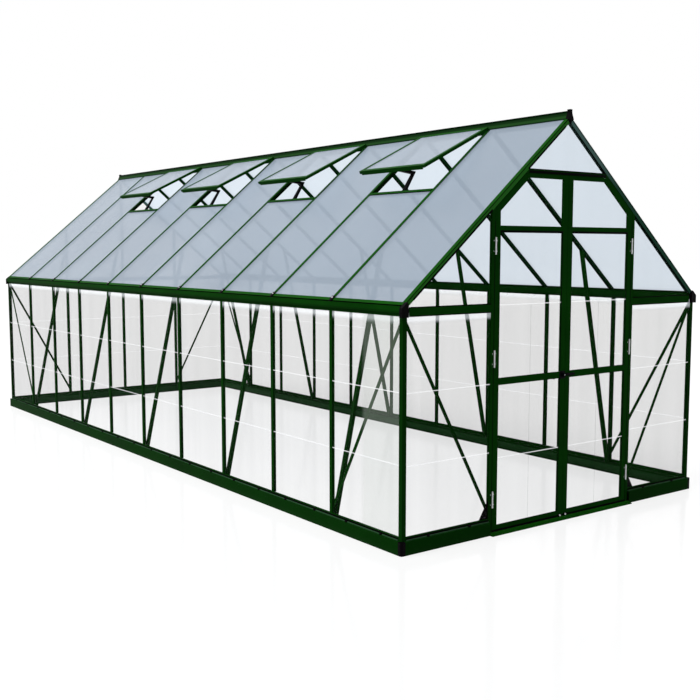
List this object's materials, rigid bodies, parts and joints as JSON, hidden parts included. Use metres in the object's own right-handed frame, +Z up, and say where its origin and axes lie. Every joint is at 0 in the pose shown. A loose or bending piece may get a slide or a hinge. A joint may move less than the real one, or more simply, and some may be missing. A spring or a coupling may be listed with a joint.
{
  "type": "polycarbonate greenhouse",
  "caption": "Walk-in gabled greenhouse with a green metal frame, clear wall sheets, hazy roof sheets, double hinged doors and propped roof vents.",
  "frame": {"origin": "on the ground, in the middle of the bounding box of the footprint with the door threshold", "axes": "+X to the right seen from the doors, +Y from the doors to the back gable, along the ridge, +Z up"},
  "size_m": [2.44, 6.144, 2.328],
  "materials": {
    "green_paint": "dark green powder coat, satin",
    "base_paint": "dark green coated steel, satin",
    "black_plastic": "moulded black nylon",
    "hinge_steel": "bare metal",
    "clear_sheet": "clear polycarbonate sheet",
    "hazy_sheet": "hazy twin-wall polycarbonate sheet"
  },
  "bodies": {
    "frame": {"back_panels": "clear_sheet", "back_studs": "green_paint", "base_clips": "black_plastic", "base_corner_caps": "black_plastic", "base_rail_back": "base_paint", "base_rail_left": "base_paint", "base_rail_right": "base_paint", "base_rails_front": "base_paint", "corner_braces": "green_paint", "corner_posts": "green_paint", "door_gussets": "black_plastic", "door_header": "green_paint", "door_hinge_leaves_fixed": "hinge_steel", "door_hinge_pins": "hinge_steel", "door_jambs": "green_paint", "door_threshold": "green_paint", "eave_connectors": "black_plastic", "eave_gutters": "green_paint", "eave_trims": "green_paint", "front_panels": "clear_sheet", "gable_rafters": "green_paint", "rafters_left": "green_paint", "rafters_right": "green_paint", "ridge_beam": "green_paint", "ridge_end_caps": "black_plastic", "roof_braces": "green_paint", "roof_panels_left": "hazy_sheet", "roof_panels_right": "hazy_sheet", "sill_rails": "green_paint", "tie_beams_back": "green_paint", "tie_beams_front": "green_paint", "vent_crossbars": "green_paint", "vent_hinge_lugs": "green_paint", "wall_panels_left": "clear_sheet", "wall_panels_right": "clear_sheet", "wall_studs_left": "green_paint", "wall_studs_right": "green_paint"},
    "door_left": {"door_left_frame": "green_paint", "door_left_panels": "clear_sheet", "door_left_hinge_leaves": "hinge_steel", "door_handle_rose": "black_plastic", "door_left_plug": "black_plastic"},
    "door_right": {"door_right_frame": "green_paint", "door_right_panels": "clear_sheet", "door_right_hinge_leaves": "hinge_steel", "door_keeper": "black_plastic", "door_right_plug": "black_plastic"},
    "handle": {"door_handle": "black_plastic"},
    "vent_1": {"vent_frame_1": "green_paint", "vent_panel_1": "hazy_sheet"},
    "stay_1": {"vent_stay_1": "black_plastic"},
    "vent_2": {"vent_frame_2": "green_paint", "vent_panel_2": "hazy_sheet"},
    "stay_2": {"vent_stay_2": "black_plastic"},
    "vent_3": {"vent_frame_3": "green_paint", "vent_panel_3": "hazy_sheet"},
    "stay_3": {"vent_stay_3": "black_plastic"},
    "vent_4": {"vent_frame_4": "green_paint", "vent_panel_4": "hazy_sheet"},
    "stay_4": {"vent_stay_4": "black_plastic"}
  },
  "joints": [
    {"name": "door_left_hinge", "type": "hinge", "parent": "frame", "child": "door_left", "pos_m": [-0.569, -3.0388, 0.9], "axis": [0, 0, -1], "range_deg": [0, 110]},
    {"name": "door_right_hinge", "type": "hinge", "parent": "frame", "child": "door_right", "pos_m": [0.569, -3.0388, 0.9], "axis": [0, 0, 1], "range_deg": [0, 110]},
    {"name": "door_handle_turn", "type": "hinge", "parent": "door_left", "child": "handle", "pos_m": [-0.019, -3.034, 0.84], "axis": [0, 1, 0], "range_deg": [0, 90]},
    {"name": "vent_hinge_1", "type": "hinge", "parent": "frame", "child": "vent_1", "pos_m": [-0.03348, -2.11175, 2.2735], "axis": [0, 1, 0], "range_deg": [-14.1, 0]},
    {"name": "vent_stay_1", "type": "hinge", "parent": "vent_1", "child": "stay_1", "pos_m": [-0.50659, -2.11175, 2.03338], "axis": [0, -1, 0], "range_deg": [0, 25]},
    {"name": "vent_hinge_2", "type": "hinge", "parent": "frame", "child": "vent_2", "pos_m": [-0.03348, -0.89875, 2.2735], "axis": [0, 1, 0], "range_deg": [-14.1, 0]},
    {"name": "vent_stay_2", "type": "hinge", "parent": "vent_2", "child": "stay_2", "pos_m": [-0.50659, -0.89875, 2.03338], "axis": [0, -1, 0], "range_deg": [0, 25]},
    {"name": "vent_hinge_3", "type": "hinge", "parent": "frame", "child": "vent_3", "pos_m": [-0.03348, 0.31425, 2.2735], "axis": [0, 1, 0], "range_deg": [-14.1, 0]},
    {"name": "vent_stay_3", "type": "hinge", "parent": "vent_3", "child": "stay_3", "pos_m": [-0.50659, 0.31425, 2.03338], "axis": [0, -1, 0], "range_deg": [0, 25]},
    {"name": "vent_hinge_4", "type": "hinge", "parent": "frame", "child": "vent_4", "pos_m": [-0.03348, 1.52725, 2.2735], "axis": [0, 1, 0], "range_deg": [-14.1, 0]},
    {"name": "vent_stay_4", "type": "hinge", "parent": "vent_4", "child": "stay_4", "pos_m": [-0.50659, 1.52725, 2.03338], "axis": [0, -1, 0], "range_deg": [0, 25]}
  ]
}
